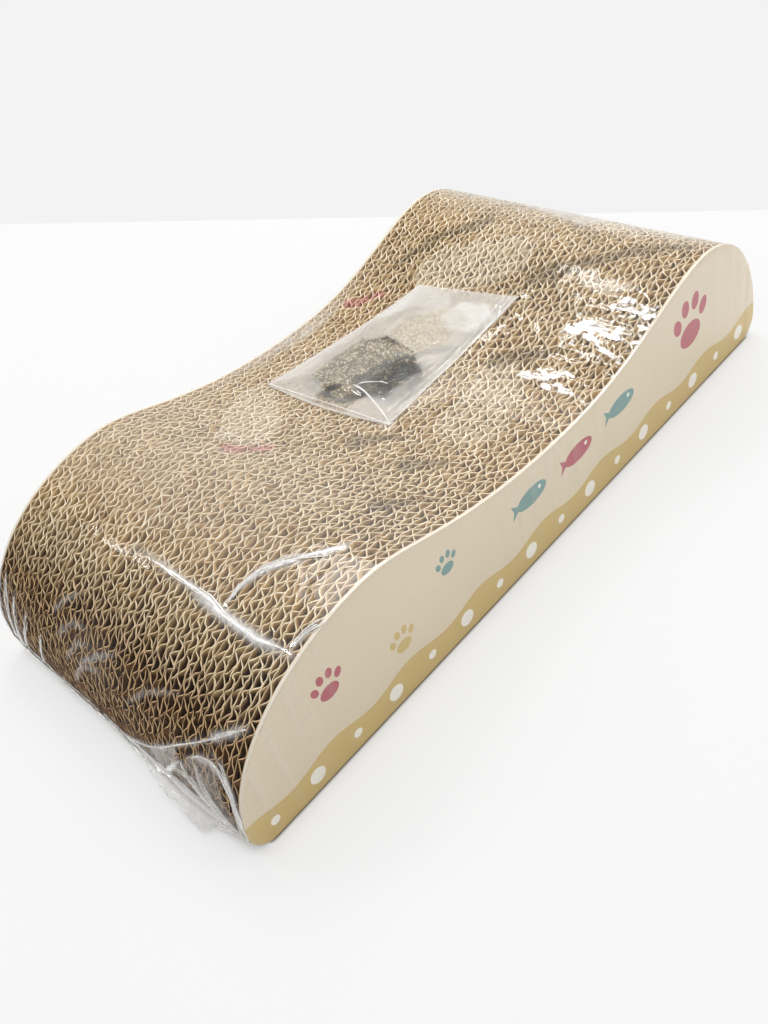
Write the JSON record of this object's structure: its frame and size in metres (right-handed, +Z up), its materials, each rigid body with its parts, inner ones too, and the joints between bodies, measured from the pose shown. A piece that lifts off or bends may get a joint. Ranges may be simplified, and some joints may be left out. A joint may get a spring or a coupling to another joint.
{
  "type": "cat scratcher",
  "caption": "Low wave-shaped scratching lounge of upright corrugated boards between two side covers, shrink-wrapped with a small bag of catnip in its dip.",
  "frame": {"origin": "the middle of the flat base, on the surface that the scratcher stands on", "axes": "+X runs along the length from the front hump to the rear hump, +Y across it to the left side, +Z up"},
  "size_m": [0.4312, 0.2082, 0.0868],
  "materials": {
    "corrugated_board": "raw cut edge",
    "printed_cover": "satin print",
    "shrink_film": "clear gloss",
    "bag_film": "clear, slightly milky",
    "dried_herb": "loose dry flakes"
  },
  "bodies": {
    "root": {"cover_right": "printed_cover", "board_01": "corrugated_board", "board_02": "corrugated_board", "board_03": "corrugated_board", "board_04": "corrugated_board", "board_05": "corrugated_board", "board_06": "corrugated_board", "board_07": "corrugated_board", "board_08": "corrugated_board", "board_09": "corrugated_board", "board_10": "corrugated_board", "board_11": "corrugated_board", "board_12": "corrugated_board", "board_13": "corrugated_board", "board_14": "corrugated_board", "board_15": "corrugated_board", "board_16": "corrugated_board", "board_17": "corrugated_board", "board_18": "corrugated_board", "board_19": "corrugated_board", "board_20": "corrugated_board", "board_21": "corrugated_board", "board_22": "corrugated_board", "board_23": "corrugated_board", "board_24": "corrugated_board", "board_25": "corrugated_board", "cover_left": "printed_cover", "wrap_upper_web": "shrink_film", "wrap_lower_web": "shrink_film", "catnip_bag": "bag_film", "catnip": "dried_herb"}
  },
  "joints": []
}
